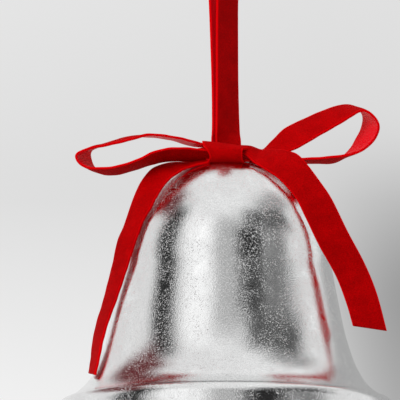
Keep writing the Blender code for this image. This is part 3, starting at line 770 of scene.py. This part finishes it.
left_over = add(room, "ShaderNodeMath", {0: 1.0, 1: darkness}, operation="SUBTRACT")
seen_in_metal = add(room, "ShaderNodeMath", {0: lit, 1: left_over}, operation="MULTIPLY")
print("dark openings:", len(DARK_OPENINGS))

# %% [markdown]
# Behind the bell hangs a pale backdrop.  The camera meets it directly, where the metal meets the
# room, so a light path node picks one or the other.  Painted shade darkens the backdrop a little to the
# right, painted light brightens it towards the bottom and top, and a wide soft painted shadow lies on
# its lower right, though nothing in the scene casts it.

# %% Backdrop
BOW_REFLECTION_PATCH, BOW_REFLECTION_COLOUR = (-175.0, -80.0, 37.0, 60.0), "#6c3133"
SHADOW_DEPTH = 0.46
# painted shade and light: the backdrop darkens to the right and brightens towards the bottom and top
across = add(room, "ShaderNodeMapRange", {"Value": outward.outputs["X"], "From Min": -0.05,
                                          "From Max": 0.03, "To Min": 0.735, "To Max": 0.70})
low_glow = add(room, "ShaderNodeMapRange", {"Value": outward.outputs["Z"], "From Min": 0.158,
                                            "From Max": 0.11, "To Min": 0.0, "To Max": 0.14})
high_glow = add(room, "ShaderNodeMapRange", {"Value": outward.outputs["Z"], "From Min": 0.165,
                                             "From Max": 0.206, "To Min": 0.0, "To Max": 0.045})
glow = add(room, "ShaderNodeMath", {0: low_glow, 1: high_glow}, operation="ADD")
backdrop_painted_light = add(room, "ShaderNodeMath", {0: across, 1: glow}, operation="ADD")
# painted shadow on the backdrop's lower right, cast by nothing in the scene
shadow = add(room, "ShaderNodeMath", {0: between(outward.outputs["X"], 0.033, 2.0, 0.022),
                                      1: between(outward.outputs["Z"], -0.30, 0.156, 0.026)},
             operation="MULTIPLY")
shade = add(room, "ShaderNodeMath", {0: shadow, 1: SHADOW_DEPTH}, operation="MULTIPLY")
backdrop = add(room, "ShaderNodeMath", {0: backdrop_painted_light, 1: shade}, operation="SUBTRACT")
direct = add(room, "ShaderNodeLightPath").outputs["Is Camera Ray"]
light = add(room, "ShaderNodeMix", {0: direct, 2: seen_in_metal, 3: backdrop}, data_type="FLOAT")
not_direct = add(room, "ShaderNodeMath", {0: 1.0, 1: direct}, operation="SUBTRACT")
# painted reflection: a dark red patch, never seen by the camera, standing in for the bow's reflection in the
# dome
cloth = add(room, "ShaderNodeMath", {0: opening(*BOW_REFLECTION_PATCH, 6.0, 4.0), 1: not_direct},
            operation="MULTIPLY")
tinted = add(room, "ShaderNodeMix", {0: cloth, 6: light, 7: linear(BOW_REFLECTION_COLOUR)}, data_type="RGBA")
sky = add(room, "ShaderNodeBackground", {"Strength": 1.0, "Color": tinted.outputs[2]})
add(room, "ShaderNodeOutputWorld", {"Surface": sky})
print("room nodes:", len(room.nodes))

# %% [markdown]
# Two soft boxes light the velvet: a tall one on the left and a wide one overhead.  They are hidden from
# glossy rays, because the room already gives the metal all that it mirrors.

# %% Soft boxes
BELL_MIDDLE = CROWN - Vector((0.0, 0.0, 0.045))


def soft_box(name, place, size, power):
    """A white rectangular lamp that faces the middle of the bell."""
    data = bpy.data.lights.new(name, "AREA")
    data.shape = "RECTANGLE"
    data.size, data.size_y = size
    data.energy = power
    lamp = bpy.data.objects.new(name, data)
    lamp.location = place
    lamp.rotation_euler = (Vector(place) - BELL_MIDDLE).to_track_quat("Z", "Y").to_euler()
    lamp.visible_camera = False
    lamp.visible_glossy = False
    bpy.context.scene.collection.objects.link(lamp)
    print(name, power, "W")


soft_box("left_soft_box", (-0.92, -1.42, 0.75), (0.62, 1.7), 16.0)
soft_box("overhead_soft_box", (0.1, -0.3, 1.9), (1.6, 1.6), 6.0)

# %% [markdown]
# A plain pale floor lies well below the hanging bell, so the bell can also be seen from underneath.

# %% Floor
FLOOR_HALF, FLOOR_HEIGHT = 7.5, -3.0        # metres
bm = bmesh.new()
bmesh.ops.create_grid(bm, x_segments=1, y_segments=1, size=FLOOR_HALF)
bmesh.ops.translate(bm, vec=(0.0, 0.0, FLOOR_HEIGHT), verts=bm.verts)
pale_floor = new_material("pale_floor", "#e4e4e4", 0.8)[0]
finished("floor", bm, [pale_floor])
print("floor at", FLOOR_HEIGHT, "m")

# %% [markdown]
# The camera looks up at the bell from a little below, through a long lens, so the bell fills the frame and
# its rim falls just outside it.  The lens follows from the distance and from the width the frame takes in.

# %% Camera
bpy.context.scene.view_settings.view_transform = "Standard"     # keeps the red of the velvet pure
CAMERA_SIDE, CAMERA_DISTANCE, CAMERA_DROP = -10.5, 1600.0, 272.0        # millimetres from the crown
AIM_DROP = 15.2
FRAME_WIDTH, SENSOR_WIDTH = 160.0, 36.0
NEAREST, FARTHEST = 0.05, 50.0              # metres
aim = CROWN + Vector((CAMERA_SIDE, 0.0, -AIM_DROP)) * MM
camera_data = bpy.data.cameras.new("camera")
camera = bpy.data.objects.new("camera", camera_data)
camera.location = CROWN + Vector((CAMERA_SIDE, -CAMERA_DISTANCE, -CAMERA_DROP)) * MM
camera.rotation_euler = (camera.location - aim).to_track_quat("Z", "Y").to_euler()
camera_data.sensor_width = SENSOR_WIDTH
camera_data.lens = SENSOR_WIDTH * (camera.location - aim).length / (FRAME_WIDTH * MM)
camera_data.clip_start, camera_data.clip_end = NEAREST, FARTHEST
bpy.context.scene.collection.objects.link(camera)
bpy.context.scene.camera = camera
print("lens", round(camera_data.lens), "mm")

# %% [markdown]

# %% Done
print("scene built")
